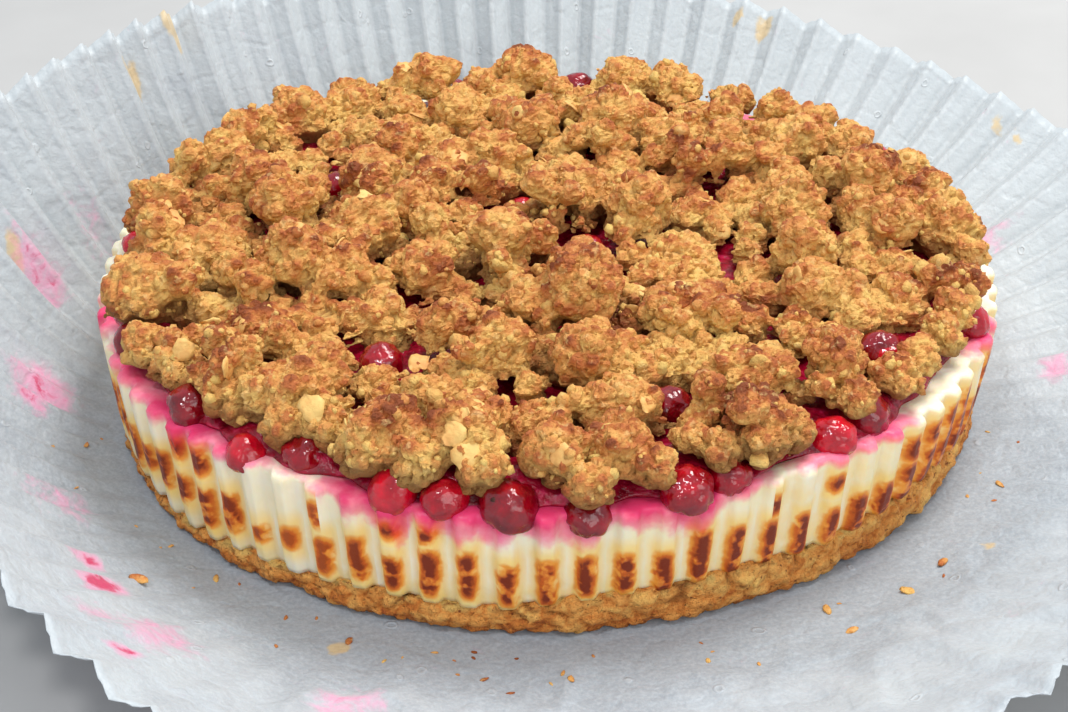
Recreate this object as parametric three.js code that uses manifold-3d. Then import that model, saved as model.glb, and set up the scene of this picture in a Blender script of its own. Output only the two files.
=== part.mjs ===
// A whole redcurrant crumble cheesecake, standing in its opened fluted paper baking case.
// From below: the paper case, an oat biscuit base, the fluted cheese layer, redcurrants and oat crumble.
// The frame has +Z up and its origin at the centre of the paper's underside, on the cake's axis.
// Lengths are in millimetres and angles in degrees, counted from +X towards +Y.
import * as THREE from "three";
import { mergeVertices } from "three/addons/utils/BufferGeometryUtils.js";
import Module from "manifold-3d";

// Driving sizes
const CAKE_RADIUS = 100.5; // at the bottom edge of the biscuit base
const RIM_RADIUS = 102.5; // at the top of the cheese layer
const CHEESE_TOP = 31; // mean height of the cheese layer's rim
const CHEESE_DIP = 1.4; // how far the top of the cheese lies below its rim
const FLUTES = 84;
const FLUTE_DEPTH = 1.9; // on the cheese, from ridge to groove
const PAPER_THICKNESS = 0.6;
const PAPER_SLANT = 66; // length of the case's fluted wall
const PAPER_PLEAT = 2.4; // half the pleats' depth at the rim
const GAP = 0.35; // clearance between layers that touch
const BERRY_RADIUS = 4.6;
const CRUMBLE_RADIUS = 98;
const CRUMBLE_FLOOR = 33.6; // underside of the crumble's bed
const BED_RADIUS = 89;
const BED_THICKNESS = 5;
const CLUMP_SPACING = 0.74; // centre distance of two clumps, as a share of their sizes' sum
const CLUMP_SEED = 20;
const BERRY_SEED = 7;

// Clumps that stand out along the front rim and on top: angle, distance from the axis, half width.
const MAIN_CLUMPS = [
  [-134, 89, 9.8],
  [-123, 84, 9.8],
  [-136, 76, 8.6],
  [-110, 93, 9.2],
  [-99, 86, 10.4],
  [-88, 93, 9.8],
  [-85, 100, 4.6],
  [-80, 94, 7.2],
  [-72, 91, 7.4],
  [-65, 93, 10.6],
  [-59, 80, 8.6],
  [-49, 88, 9.4],
  [-42, 95, 8.6],
  [-28, 94, 7.4],
  [-158, 90, 10.6],
  [-144, 92, 8.2],
  [177, 92, 10],
  [-17, 92, 8.2],
  [17, 92, 8.8],
];

// The other clumps, by falling size: half width, number.
const CLUMP_SIZES = [
  [10.8, 24],
  [9.4, 13],
];
const REAR_CLUMP_SPAN = [-2, 170]; // angles between which clumps line the rim by a rule
const REAR_CLUMP_STEP = 11.5;

// Places where the crumble leaves the fruit bare: angle, distance from the axis, radius.
const BARE_SPOTS = [
  [-122, 64, 6.5],
  [-37, 12, 6],
  [105, 21, 4],
  [-36, 86, 6],
  [-118, 44, 4],
  [-71, 75, 6],
  [44, 33, 4],
  [150, 60, 5],
];

// Redcurrants that show along the front rim: angle, distance from the axis, height, radius.
const FRONT_BERRIES = [
  [-155, 97, 32.5, 4.4],
  [-137, 97.5, 32.5, 4.9],
  [-126, 99, 30.5, 4.4],
  [-119, 95, 32.5, 4.8],
  [-107, 98.5, 31.5, 4.6],
  [-101, 98.5, 31.5, 4.6],
  [-94, 98.8, 30.8, 5.6],
  [-85.5, 99.5, 29.2, 4.4],
  [-74.5, 98.8, 32, 5.4],
  [-69.5, 98, 32.5, 4.2],
  [-55, 96.5, 32.5, 4.6],
  [-48.5, 95.5, 32.8, 5],
  [-36, 88, 33, 4.8],
  [-21, 98, 32.5, 4.4],
];
const REAR_BERRY_SPAN = [-10, 200]; // angles between which the rim's other redcurrants lie
const REAR_BERRY_STEP = 19;

const wasm = await Module();
wasm.setup();

const radians = (degrees) => (degrees * Math.PI) / 180;

// A seeded random number from 0 to 1 at each call.
function seededRandom(seed) {
  let state = seed >>> 0;
  return () => {
    state = (state + 0x6d2b79f5) >>> 0;
    let mixed = Math.imul(state ^ (state >>> 15), state | 1);
    mixed = (mixed + Math.imul(mixed ^ (mixed >>> 7), mixed | 61)) ^ mixed;
    return ((mixed ^ (mixed >>> 14)) >>> 0) / 4294967296;
  };
}

function atAngle(angle, distance, height) {
  const turn = radians(angle);
  return new THREE.Vector3(distance * Math.cos(turn), distance * Math.sin(turn), height);
}

// The triangles of a surface through rings of points, given by the rings' numbers of points.
// Each ring goes counter-clockwise seen from above; a pole is a ring of one point.
function ringFaces(counts) {
  const faces = [];
  let start = 0;
  for (let level = 0; level + 1 < counts.length; level++) {
    const inner = counts[level];
    const outer = counts[level + 1];
    const innerAt = (i) => start + (i % inner);
    const outerAt = (j) => start + inner + (j % outer);
    const innerSteps = inner > 1 ? inner : 0;
    const outerSteps = outer > 1 ? outer : 0;
    for (let i = 0, j = 0; i < innerSteps || j < outerSteps; ) {
      const onInner = j >= outerSteps || (i < innerSteps && (i + 1) / inner < (j + 1) / outer);
      if (onInner) {
        faces.push([innerAt(i), innerAt(i + 1), outerAt(j)]);
        i++;
      } else {
        faces.push([innerAt(i), outerAt(j + 1), outerAt(j)]);
        j++;
      }
    }
    start += inner;
  }
  return faces;
}

function facedGeometry(points, faces) {
  const geometry = new THREE.BufferGeometry();
  const positions = points.flatMap((point) => [point.x, point.y, point.z]);
  geometry.setAttribute("position", new THREE.Float32BufferAttribute(positions, 3));
  geometry.setIndex(faces.flat());
  return geometry;
}

// A closed surface through rings of points, from the lowest pole over the outside to the upper pole.
function ringGeometry(rings) {
  return facedGeometry(rings.flat(), ringFaces(rings.map((points) => points.length)));
}

function solidOf(geometry) {
  const bare = geometry.clone();
  bare.deleteAttribute("normal");
  bare.deleteAttribute("uv");
  const merged = mergeVertices(bare, 1e-4);
  const vertProperties = new Float32Array(merged.attributes.position.array);
  const triVerts = new Uint32Array(merged.index.array);
  return new wasm.Manifold(new wasm.Mesh({ numProp: 3, vertProperties, triVerts }));
}

function geometryOf(solid) {
  const mesh = solid.getMesh();
  const geometry = new THREE.BufferGeometry();
  geometry.setAttribute("position", new THREE.BufferAttribute(mesh.vertProperties, 3));
  geometry.setIndex(new THREE.BufferAttribute(mesh.triVerts, 1));
  geometry.computeVertexNormals();
  return geometry;
}

const union = (solids) => solids.reduce((joined, solid) => joined.add(solid));

function ring(count, distance, height) {
  return Array.from({ length: count }, (_, i) => {
    const angle = (360 * i) / count;
    return atAngle(angle, distance(angle), height(angle));
  });
}

// How high the biscuit base reaches at the cake's side: thick at the right, thin at the left.
function baseHeight(angle) {
  const turn = radians(angle);
  const lean = 2.2 * Math.cos(turn + radians(20)) - 1.3 * Math.cos(2 * (turn + radians(150)));
  return 7.1 + lean + 0.5 * Math.sin(9 * turn + 1) + 0.35 * Math.sin(17 * turn + 2);
}

// The height of the cheese layer's rim.
function rimHeight(angle) {
  const turn = radians(angle);
  return CHEESE_TOP + 0.5 * Math.sin(5 * turn + 0.5) + 0.35 * Math.sin(11 * turn);
}

// The cake's outline isn't a true circle: this is added to each of its radii.
function outOfRound(angle) {
  const turn = radians(angle);
  return 0.7 * Math.cos(2 * turn) + 0.5 * Math.sin(3 * turn + 1) + 0.3 * Math.sin(7 * turn);
}

function biscuitBase() {
  const around = FLUTES;
  const bottom = PAPER_THICKNESS + GAP;
  const bedTop = 7.1;
  const edge = (angle) => CAKE_RADIUS + outOfRound(angle);
  const crag = (angle) => 0.5 * Math.sin(23 * radians(angle)) + 0.4 * Math.sin(radians(31 * angle + 40));
  return ringGeometry([
    [new THREE.Vector3(0, 0, bottom)],
    ring(around, (a) => edge(a) - 1.8, () => bottom),
    ring(around, (a) => edge(a) - 0.2 + 0.5 * crag(a), () => bottom + 1.4),
    ring(around, (a) => edge(a) + 0.3 + 0.6 * crag(a + 5), (a) => (bottom + baseHeight(a)) / 2 + 0.4),
    ring(around, (a) => edge(a) - 0.3, baseHeight),
    ring(around / 2, () => CAKE_RADIUS - 16, () => bedTop),
    [new THREE.Vector3(0, 0, bedTop)],
  ]);
}

// A ring with four points to each flute: both edges of its ridge, then both edges of its groove.
function flutedRing(distance, depth, height) {
  const corners = [
    [-0.19, 0.5],
    [0.19, 0.5],
    [0.34, -0.5],
    [0.66, -0.5],
  ];
  return Array.from({ length: FLUTES * corners.length }, (_, i) => {
    const [phase, side] = corners[i % corners.length];
    const angle = (360 * (Math.floor(i / corners.length) + phase)) / FLUTES;
    return atAngle(angle, distance + outOfRound(angle) + side * depth, height(angle));
  });
}

function cheeseLayer() {
  const bottom = 7.1 + GAP + 0.15;
  const top = CHEESE_TOP - CHEESE_DIP;
  const inner = FLUTES / 2;
  const rimBevel = 1.6;
  return ringGeometry([
    [new THREE.Vector3(0, 0, bottom)],
    ring(inner, () => CAKE_RADIUS - 16, () => bottom),
    flutedRing(CAKE_RADIUS, FLUTE_DEPTH * 0.7, (a) => baseHeight(a) + GAP + 0.15),
    flutedRing(RIM_RADIUS - 0.3, FLUTE_DEPTH, (a) => rimHeight(a) - rimBevel),
    flutedRing(RIM_RADIUS - rimBevel, FLUTE_DEPTH * 0.6, rimHeight),
    ring(inner, () => CAKE_RADIUS - 6, () => top),
    [new THREE.Vector3(0, 0, top)],
  ]);
}

// The redcurrants of the front rim, of the rest of the rim and of the bare spots.
function placeBerries() {
  const random = seededRandom(BERRY_SEED);
  const berries = FRONT_BERRIES.map(([angle, distance, height, radius]) => ({
    centre: atAngle(angle, distance, height),
    radius,
  }));
  const [from, to] = REAR_BERRY_SPAN;
  for (let angle = from; angle < to; angle += REAR_BERRY_STEP) {
    const radius = BERRY_RADIUS * (0.9 + 0.2 * random());
    const place = atAngle(angle + 4 * (random() - 0.5), 93 + 1.5 * random(), 30 + GAP + radius);
    berries.push({ centre: place, radius });
  }
  for (const [angle, distance, spot] of BARE_SPOTS) {
    const radius = Math.min(BERRY_RADIUS, spot - 1);
    berries.push({ centre: atAngle(angle, distance, 30 + GAP + radius), radius });
  }
  return berries.map((berry) => ({ ...berry, turn: 6.28 * random() }));
}

// A redcurrant grown by a clearance on all sides.
function berrySolid(berry, clearance) {
  const facetLoss = 1.06; // keeps the faceted ball as large as the true one
  const ball = new THREE.OctahedronGeometry((berry.radius + clearance) * facetLoss, 1);
  ball.rotateX(berry.turn).rotateZ(2 * berry.turn);
  ball.translate(berry.centre.x, berry.centre.y, berry.centre.z);
  return solidOf(ball);
}

// The thin bed of juice and fruit under the crumble, which carries the redcurrants that show.
function fruitBed() {
  const bottom = CHEESE_TOP - CHEESE_DIP + GAP;
  const around = FLUTES / 3;
  return ringGeometry([
    [new THREE.Vector3(0, 0, bottom)],
    ring(around, () => CAKE_RADIUS - 8, () => bottom),
    ring(around, () => CAKE_RADIUS - 2.5, () => bottom + 1.6),
    ring(around, () => CAKE_RADIUS - 9, () => CRUMBLE_FLOOR - GAP),
    [new THREE.Vector3(0, 0, CRUMBLE_FLOOR - GAP)],
  ]);
}

// The clumps of the crumble: the main ones, then the others by falling size, clear of the bare spots.
function placeClumps() {
  const random = seededRandom(CLUMP_SEED);
  const clumps = [];
  const add = (x, y, size) => {
    const stretch = 0.8 + 0.4 * random();
    const turn = 2 * Math.PI * random();
    const lift = 0.3 + 0.35 * random();
    const seed = 100 * random();
    clumps.push({ x, y, size, stretch, turn, seed, height: CRUMBLE_FLOOR + size * lift });
  };
  for (const [angle, distance, size] of MAIN_CLUMPS) {
    const place = atAngle(angle, distance, 0);
    add(place.x, place.y, size);
  }
  const [from, to] = REAR_CLUMP_SPAN;
  for (let angle = from; angle < to; angle += REAR_CLUMP_STEP) {
    const size = 8 + 2.4 * random();
    const place = atAngle(angle + 3 * (random() - 0.5), CRUMBLE_RADIUS + 1 - size, 0);
    add(place.x, place.y, size);
  }
  const spots = BARE_SPOTS.map(([angle, distance, radius]) => ({ ...atAngle(angle, distance, 0), radius }));
  for (const [size, count] of CLUMP_SIZES) {
    for (let tries = 0, placed = 0; placed < count && tries < 60 * count; tries++) {
      const turn = 2 * Math.PI * random();
      const distance = (CRUMBLE_RADIUS - size) * Math.sqrt(random());
      const x = distance * Math.cos(turn);
      const y = distance * Math.sin(turn);
      const near = clumps.some((c) => Math.hypot(x - c.x, y - c.y) < CLUMP_SPACING * (size + c.size));
      const bare = spots.some((s) => Math.hypot(x - s.x, y - s.y) < s.radius + 0.6 * size);
      if (near || bare) continue;
      add(x, y, size);
      placed++;
    }
  }
  return clumps;
}

// A craggy lump: a ball whose points move in and out by a smooth seeded wave.
function lumpSolid(x, y, z, size, stretch, turn, seed) {
  const ball = new THREE.IcosahedronGeometry(1, 0);
  const points = ball.attributes.position;
  const point = new THREE.Vector3();
  for (let i = 0; i < points.count; i++) {
    point.fromBufferAttribute(points, i);
    const wave =
      0.14 * Math.sin(4.1 * point.x + seed) * Math.sin(3.7 * point.y + 2 * seed) +
      0.12 * Math.sin(5.3 * point.z + 3 * seed);
    point.multiplyScalar(size * (1.12 + wave));
    points.setXYZ(i, point.x * stretch, point.y / stretch, point.z * 0.84);
  }
  ball.rotateZ(turn).translate(x, y, z);
  return solidOf(ball);
}

// Each large clump carries knobs, so that its outline is as craggy as baked crumble.
function clumpSolid(clump) {
  const { x, y, height, size, stretch, turn, seed } = clump;
  const lumps = [lumpSolid(x, y, height, size * 0.92, stretch, turn, seed)];
  const knobs = size > 10 ? 1 : 0;
  for (let k = 0; k < knobs; k++) {
    const round = turn + 2 + k;
    const knobX = x + 0.6 * size * Math.cos(round);
    const knobY = y + 0.6 * size * Math.sin(round);
    const knobZ = height + size * (0.15 + 0.3 * Math.sin(seed + 2 * k));
    lumps.push(lumpSolid(knobX, knobY, knobZ, size * 0.52, 1, round, seed + k));
  }
  return union(lumps);
}

// The uneven bed that joins the clumps.
function crumbleBed() {
  const around = FLUTES / 3;
  const bottom = CRUMBLE_FLOOR - 2; // trimmed to the floor together with the clumps
  const top = CRUMBLE_FLOOR + BED_THICKNESS;
  const hilly = (radius) => (a) => top + 1.6 * Math.sin(radius + radians(7 * a)) * Math.sin(radians(4 * a) + radius);
  const hills = [70, 47, 22].map((radius) => ring(around / 2, () => radius, hilly(radius)));
  return ringGeometry([
    [new THREE.Vector3(0, 0, bottom)],
    ring(around, () => BED_RADIUS, () => bottom),
    ring(around, () => BED_RADIUS, () => CRUMBLE_FLOOR + 1.5),
    ring(around, () => BED_RADIUS - 5, () => top),
    ...hills,
    [new THREE.Vector3(0, 0, top)],
  ]);
}

// The space below the crumble, which trims its clumps: flat over the fruit, lower outside the rim.
function belowCrumble() {
  const outside = RIM_RADIUS + 20;
  const rimClearance = CHEESE_TOP + 0.95 + GAP;
  return ringGeometry([
    [new THREE.Vector3(0, 0, 0)],
    ring(FLUTES / 2, () => outside, () => 0),
    ring(FLUTES / 2, () => outside, () => rimClearance),
    ring(FLUTES / 2, () => CAKE_RADIUS - 4, () => rimClearance),
    ring(FLUTES / 2, () => CAKE_RADIUS - 9, () => CRUMBLE_FLOOR),
    [new THREE.Vector3(0, 0, CRUMBLE_FLOOR)],
  ]);
}

function bareSpotSolid([angle, distance, radius]) {
  const depth = 16;
  const wall = new THREE.CylinderGeometry(radius * 1.1, radius * 0.95, depth, 9);
  const place = atAngle(angle, distance, CRUMBLE_FLOOR - 1 + depth / 2);
  return solidOf(wall.rotateX(Math.PI / 2).translate(place.x, place.y, place.z));
}

// How high the case's rim stands: most at the back and left, least at the front.
function paperRimHeight(angle) {
  const turn = radians(angle);
  const front = 14 * Math.exp(-(((angle - 270) / 24) ** 2));
  const fold = 8 * Math.exp(-(((angle - 305) / 20) ** 2));
  return 35 + 20 * Math.cos(turn - radians(145)) - front + fold + 1.4 * Math.sin(5 * turn + 1);
}

// A point of the case's wall at a share of the way from its foot to its rim, before the pleats.
function paperPoint(angle, share) {
  const foot = CAKE_RADIUS + 1.2;
  const rimHeight = paperRimHeight(angle);
  const reach = Math.sqrt(PAPER_SLANT ** 2 - rimHeight ** 2);
  return { distance: foot + reach * share, height: rimHeight * share ** 1.7 };
}

// The underside of the case, as rings from its centre to its rim.
function paperRings() {
  const around = 2 * FLUTES;
  const shares = [0.14, 0.45, 1];
  const walls = shares.map((share) =>
    Array.from({ length: around }, (_, i) => {
      const angle = (360 * i) / around;
      const { distance, height } = paperPoint(angle, share);
      const depth = PAPER_PLEAT * Math.min(1, share * 1.6);
      const pleat = i % 2 ? depth : -depth;
      return atAngle(angle, distance - 0.6 * pleat, Math.max(0, 0.8 * (depth + pleat) + height));
    }),
  );
  const foot = ring(around, () => CAKE_RADIUS + 1.2, () => 0);
  return [[new THREE.Vector3(0, 0, 0)], ring(FLUTES / 3, () => CAKE_RADIUS - 30, () => 0), foot, ...walls];
}

// The case's two faces are split into triangles alike, so that the sheet is as thick everywhere.
function paperCase() {
  const rings = paperRings();
  const under = rings.flat();
  const over = under.map((point) => point.clone().setZ(point.z + PAPER_THICKNESS));
  const faces = ringFaces(rings.map((points) => points.length));
  const overFaces = faces.map(([a, b, c]) => [a + under.length, c + under.length, b + under.length]);
  const rimCount = rings.at(-1).length;
  const rimStart = under.length - rimCount;
  const rim = Array.from({ length: rimCount }, (_, i) => {
    const here = rimStart + i;
    const next = rimStart + ((i + 1) % rimCount);
    return [here, next, next + under.length, here, next + under.length, here + under.length];
  });
  return facedGeometry([...under, ...over], [...faces, ...overFaces, ...rim]);
}

function mesh(name, geometry, color, roughness) {
  const material = new THREE.MeshStandardMaterial({ color, roughness, metalness: 0 });
  const made = new THREE.Mesh(geometry, material);
  made.name = name;
  return made;
}

// Joins the small facets that a cut leaves, and drops its loose scraps.
function tidied(solid, tolerance) {
  const bodies = solid.asOriginal().simplify(tolerance).decompose();
  return bodies.reduce((largest, body) => (body.volume() > largest.volume() ? body : largest));
}

const berries = placeBerries();
const roomFor = (some) => union(some.map((berry) => berrySolid(berry, 1.3 * GAP)));
const frontRoom = roomFor(berries.slice(0, FRONT_BERRIES.length));
const rimRoom = roomFor(berries.slice(0, berries.length - BARE_SPOTS.length));
const fruit = tidied(union([solidOf(fruitBed()), ...berries.map((berry) => berrySolid(berry, 0))]), 0.3);
const cheese = tidied(solidOf(cheeseLayer()).subtract(frontRoom), 0.1);
const clumps = union(placeClumps().map(clumpSolid));
const holes = union([solidOf(belowCrumble()), ...BARE_SPOTS.map(bareSpotSolid)]);
const crumble = tidied(clumps.add(solidOf(crumbleBed())).subtract(holes).subtract(rimRoom), 0.2);

const cheesecake = new THREE.Group();
cheesecake.add(
  mesh("paper_case", paperCase(), 0xe4e6ea, 0.6),
  mesh("biscuit_base", biscuitBase(), 0xb87a3a, 0.85),
  mesh("cheese_layer", geometryOf(cheese), 0xf3ead2, 0.45),
  mesh("redcurrants", geometryOf(fruit), 0xa3122c, 0.2),
  mesh("crumble", geometryOf(crumble), 0xc08545, 0.9),
);

export default cheesecake;
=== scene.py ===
"""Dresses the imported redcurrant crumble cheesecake: paper case, biscuit base, cheese, fruit and crumble.

Shapes are worked out in millimetres, in the frame's own axes, and become metres when a mesh is made.
"""

import math

import bmesh
import bpy
import numpy as np
from mathutils import Matrix, Vector


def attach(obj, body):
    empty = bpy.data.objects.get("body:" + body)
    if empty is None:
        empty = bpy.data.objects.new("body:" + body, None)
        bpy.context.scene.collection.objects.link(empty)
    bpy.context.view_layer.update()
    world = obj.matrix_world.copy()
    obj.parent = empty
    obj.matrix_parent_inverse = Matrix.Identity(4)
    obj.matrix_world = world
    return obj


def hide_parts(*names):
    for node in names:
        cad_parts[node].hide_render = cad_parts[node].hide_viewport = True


MM = 0.001

# The camera of the photograph, in metres
CAMERA_PLACE = (0.0, -0.35341, 0.2181)
CAMERA_FORWARD = (-0.00671, 0.85479, -0.51892)
CAMERA_UP = (0.00640, 0.51896, 0.85477)
PHOTO_WIDTH_PX = 1068
FOCAL_LENGTH_PX = 1700
SENSOR_WIDTH = 36  # in millimetres

# Sizes of the solids, and of the scene's own sheet and juice, in millimetres
CAKE_RADIUS = 100.5  # at the bottom edge of the biscuit base
RIM_RADIUS = 102.5  # at the top of the cheese layer
BASE_TOP = 7.1  # mean height of the biscuit base
CHEESE_TOP = 31  # mean height of the cheese layer's rim
CHEESE_DIP = 1.4  # how far the top of the cheese lies below its rim
FLUTES = 84
FLUTE_DEPTH = 1.9  # on the cheese, from ridge to groove
BAR_LEAN = 0.14  # how far the bars at the sides lie in front of their ridges, in flutes
PAPER_THICKNESS = 0.6  # of the solid sheet
SHEET_THICKNESS = 0.18  # of the scene's sheet
PAPER_SLANT = 66  # length of the case's fluted wall
PAPER_PLEAT = 2.4  # half the pleats' depth at the rim
WALL_GAP = 1.2  # from the cake to the foot of that wall
GAP = 0.35  # clearance between layers that touch
JUICE_FLOOR = 30.1
JUICE_TOP = 33
BERRY_RADIUS = 4.6
BERRY_SEED = 7
CRUMBLE_FLOOR = 33.6  # underside of the crumble's bed
FLOOR_REACH = 3000  # half the width of the floor

# The crumble's nuggets: least and largest radius, number of tries
NUGGET_SIZES = [
    (7.0, 9.0, 140),
    (5.0, 6.8, 420),
    (3.6, 4.8, 1000),
    (2.4, 3.4, 1600),
]
NUGGET_SPACING = 0.85  # least distance of two centres, as a share of their radii's sum
NUGGET_SINK = 0.62  # how deep a centre lies below the surface, as a share of its radius
CORE_INSET = 3.9  # how far the crumble's core lies inside the solid crumble

# Knobs on the nuggets: least and largest radius as a share of the nugget's, number on each nugget
KNOBS = [
    (0.34, 0.54, 8),
    (0.22, 0.36, 14),
]

# The crumble's skins: name, size of the mesh, front and rear plane, share of the flakes and grains
CRUMBLE_SKINS = [
    ("crumble_front", 0.62, None, -42, 0.28),
    ("crumble_middle", 0.79, -43.5, 18, 0.37),
    ("crumble_rear", 0.84, 16.5, None, 0.35),
]

# Loose grains on the crumble: subdivisions of the ball they are cut from, number, least and largest radius
GRAINS = [
    (1, 2400, 0.4, 0.8),
    (1, 900, 0.8, 1.4),
    (2, 160, 1.2, 1.9),
]
FLAKE_COUNT = 90
FLAKE_RADIUS = (1.9, 2.8)
FORWARDS = (0, -0.85, 0.52)  # towards the camera

# Nuggets that lean over the fruit at the front rim: angle, distance from the axis, height, radius
RIM_NUGGETS = [
    (-133, 93.5, 36.5, 5.6),
    (-127.5, 92, 37, 6.2),
    (-122, 93.5, 36.5, 5.4),
    (-117, 90.5, 37, 5.8),
    (-112, 95, 36.5, 5.2),
    (-104, 96.5, 36.5, 5.0),
    (-97, 96.0, 37, 5.2),
    (-85, 99.5, 36, 4.8),
    (-141, 95, 36.5, 5.0),
    (-149, 97, 36.5, 5.2),
    (-78, 97.5, 37.0, 4.4),
    (-70, 97, 37.5, 4.2),
    (-65, 96.5, 37, 4.8),
    (-60.5, 95, 37, 4.6),
    (-42, 94.5, 37, 4.6),
    (-36.5, 95.5, 37.5, 4.4),
    (-30, 96, 37, 4.8),
    (-24, 95.5, 37.5, 4.6),
    (-16, 96.5, 37, 4.4),
    (-8, 96, 37.5, 4.8),
    (-109, 94, 38.8, 7.8),
    (-99.5, 91, 39.5, 7.4),
    (-89, 93, 38.5, 6.8),
    (-82, 92.5, 38.5, 6.4),
    (-64, 91, 39, 6.6),
    (-124, 88, 39.5, 7.6),
]

# Redcurrants along the front rim: angle, distance from the axis, height, radius
FRONT_BERRIES = [
    (-155, 97, 32.5, 4.4),
    (-137, 97.5, 32.5, 4.9),
    (-126, 99, 30.5, 4.4),
    (-119, 95, 32.5, 4.8),
    (-107, 98.5, 31.5, 4.6),
    (-101, 98.5, 31.5, 4.6),
    (-94, 98.8, 30.8, 5.6),
    (-85.5, 99.5, 29.2, 4.4),
    (-74.5, 98.8, 32, 5.4),
    (-69.5, 98, 32.5, 4.2),
    (-55, 96.5, 32.5, 4.6),
    (-48.5, 95.5, 32.8, 5),
    (-36, 88, 33, 4.8),
    (-21, 98, 32.5, 4.4),
]
REAR_BERRY_SPAN = (-10, 200)  # angles between which the rim's other redcurrants lie
REAR_BERRY_STEP = 19

# Whole oat flakes on the clumps at the front: angle, distance from the axis, height, radius
FRONT_FLAKES = [
    (-99, 98, 40, 3.1),
    (-100, 95, 44, 2.7),
    (-119, 93, 42, 2.9),
    (-142, 94, 43, 2.6),
    (-88, 97, 42, 2.4),
]

# Places where the crumble leaves the fruit bare: angle, distance from the axis, radius
BARE_SPOTS = [
    (-122, 64, 6.5),
    (-37, 12, 6),
    (105, 21, 4),
    (-36, 86, 6),
    (-118, 44, 4),
    (-71, 75, 6),
    (44, 33, 4),
    (150, 60, 5),
]

# Clumps that are toasted dark: angle, distance from the axis, radius
TOASTED = [
    (-123, 41, 9),
    (-145, 77, 9),
    (165, 47, 7),
    (38, 45, 9),
    (-38, 58, 9),
    (-65, 91, 9),
    (-19, 94, 8),
    (12, 89, 9),
    (-107, 92, 7),
    (124, 28, 7),
    (80, 80, 8),
    (-90, 25, 6),
    (140, 85, 7),
]

# Juice that has run down the cheese: angle, half width in degrees, length, strength
STAINS = [
    (-166, 4, 9, 1.0),
    (-150, 6, 5, 0.8),
    (-137, 7, 6, 1.0),
    (-127, 4, 4, 0.8),
    (-118, 4, 2, 0.35),
    (-112, 3, 6, 0.8),
    (-107, 4, 9, 1.1),
    (-101, 4, 8, 1.0),
    (-96, 4, 8, 1.1),
    (-91, 4, 7, 1.0),
    (-86, 4, 8, 1.1),
    (-80, 4, 7, 1.0),
    (-74, 4, 8, 1.1),
    (-68, 3, 5, 0.7),
    (-55, 5, 3.5, 0.8),
    (-48, 4, 3.5, 0.8),
    (-21, 4, 5, 0.9),
    (20, 6, 3, 0.7),
    (55, 8, 4, 0.7),
    (95, 6, 3, 0.7),
    (130, 7, 5, 0.8),
    (160, 5, 3, 0.7),
]

# Juice marks on the paper case: angle, distance from the axis, radius, strength
JUICE_MARKS = [
    (173.5, 124, 5, 0.85),
    (163, 122, 5, 0.4),
    (190.5, 118, 5.5, 0.95),
    (195, 120, 3, 0.8),
    (214, 121, 6, 0.5),
    (230.5, 132, 3.5, 1.25),
    (226, 128, 2.5, 1.0),
    (239, 136, 6, 0.7),
    (240.5, 148, 2, 1.2),
    (236, 142, 4, 0.5),
    (254, 130, 6, 0.65),
    (24, 129, 6, 0.5),
    (355.5, 122, 4.5, 0.75),
    (95, 112, 6, 0.6),
    (60, 118, 4, 0.5),
]

# Yellow-brown grease marks on it: angle, distance from the axis, radius
GREASE_MARKS = [
    (138.5, 135, 4),
    (146, 133, 3),
    (64, 152, 3.5),
    (67, 150, 2.5),
    (35, 156, 3),
    (31.5, 154, 2.5),
    (175, 129, 3),
    (249, 112, 3),
    (320, 118, 3),
]

# Crumbs that lie on it: angle, distance from the axis, size
PAPER_CRUMBS = [
    (200, 110, 0.7),
    (229, 122, 1.6),
    (231, 106.5, 0.8),
    (249.5, 109, 0.7),
    (332, 111.5, 0.8),
    (315, 113.5, 1.1),
    (300, 117, 1.1),
    (300.5, 108.5, 1.1),
    (308.5, 115, 1.2),
]

# Dust of the same crumble round the cake's foot: number, and ranges of angle, distance and size
DUST_COUNT = 36
DUST_RANGES = ((195, 345), (103.5, 118), (0.25, 0.6))

# Lights: name, place and width in metres, power, colour
LIGHTS = [
    ("window", (0.4, 0.32, 1.15), 0.55, 12.4, (1.0, 0.97, 0.92)),
    ("sparkle", (-0.25, -0.4, 1.0), 0.14, 2.6, (1.0, 1.0, 1.0)),
    ("front", (0.6, -1.05, 0.7), 1.0, 5.6, (1.0, 0.98, 0.96)),
]
LIT_PLACE = (0, 0, 0.03)
SKY_COLOUR = (0.86, 0.93, 1.0, 1)
SKY_STRENGTH = 0.73

# Keeps the whole numbers of the noise and the draws within 32 bits
MASK = 0xFFFFFFFF


# Repeatable noise over arrays of points


def lattice(cell, seed):
    """A repeatable number from 0 to 1 for each whole-numbered point of space."""
    mixed = (cell[..., 0] * 73856093) ^ (cell[..., 1] * 19349663) ^ (cell[..., 2] * 83492791)
    mixed = (mixed ^ (seed * 2654435761 & MASK)) & MASK
    mixed = (mixed ^ (mixed >> 15)) * 2246822519 & MASK
    mixed = (mixed ^ (mixed >> 13)) * 3266489917 & MASK
    return (mixed ^ (mixed >> 16)) / MASK


def smooth_noise(points, size, seed=0):
    """Soft noise from -1 to 1, with features of about the given size."""
    scaled = points / size
    base = np.floor(scaled).astype(np.int64)
    part = scaled - base
    part = part * part * (3 - 2 * part)
    total = np.zeros(len(points))
    for corner in np.ndindex(2, 2, 2):
        weight = np.prod(np.where(corner, part, 1 - part), axis=-1)
        total += weight * lattice(base + np.array(corner), seed)
    return 2 * total - 1


def rough_noise(points, size, octaves=3, seed=0):
    """Noise from about -1 to 1 that has ever finer features on coarse ones."""
    layers = [smooth_noise(points, size / 2**k, seed + k) / 2**k for k in range(octaves)]
    return sum(layers) / (2 - 2 ** (1 - octaves))


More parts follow.
